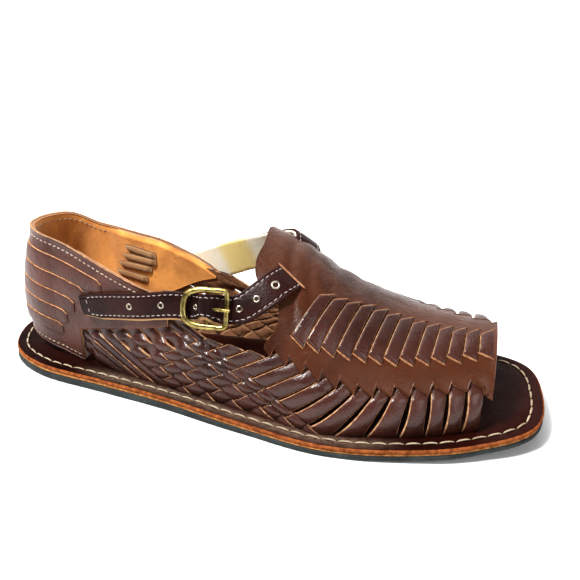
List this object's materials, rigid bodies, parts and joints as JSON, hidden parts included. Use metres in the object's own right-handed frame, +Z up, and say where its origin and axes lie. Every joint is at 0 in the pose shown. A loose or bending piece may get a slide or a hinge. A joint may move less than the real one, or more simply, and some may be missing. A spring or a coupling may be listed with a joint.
{
  "type": "huarache sandal",
  "caption": "Woven leather huarache sandal for the right foot, with open toe, closed heel counter, slotted vamp, buckled ankle strap and stitched flat sole.",
  "frame": {"origin": "Centre of the sole's bounding box in plan, on the floor plane.", "axes": "+X from the heel to the toe, +Y to the inner side of a right foot, +Z up."},
  "size_m": [0.2902, 0.1148, 0.0815],
  "materials": {
    "rubber_sole": "matte, scuffed",
    "midsole_leather": "raw edge",
    "insole_leather": "polished",
    "upper_leather": "waxed, glossy",
    "counter_leather": "waxed outside, suede inside",
    "strap_leather": "smooth, suede lining",
    "holder_leather": "raw flesh side",
    "buckle_brass": "worn, polished",
    "eyelet_brass": "dull"
  },
  "bodies": {
    "root": {"outsole": "rubber_sole", "midsole": "midsole_leather", "insole": "insole_leather", "upper": "upper_leather", "heel_counter": "counter_leather", "ankle_strap": "strap_leather", "buckle_strap": "holder_leather", "buckle_frame": "buckle_brass", "buckle_prong": "buckle_brass", "eyelet_1": "eyelet_brass", "eyelet_2": "eyelet_brass", "eyelet_3": "eyelet_brass", "eyelet_4": "eyelet_brass", "eyelet_5": "eyelet_brass", "eyelet_6": "eyelet_brass"}
  },
  "joints": []
}
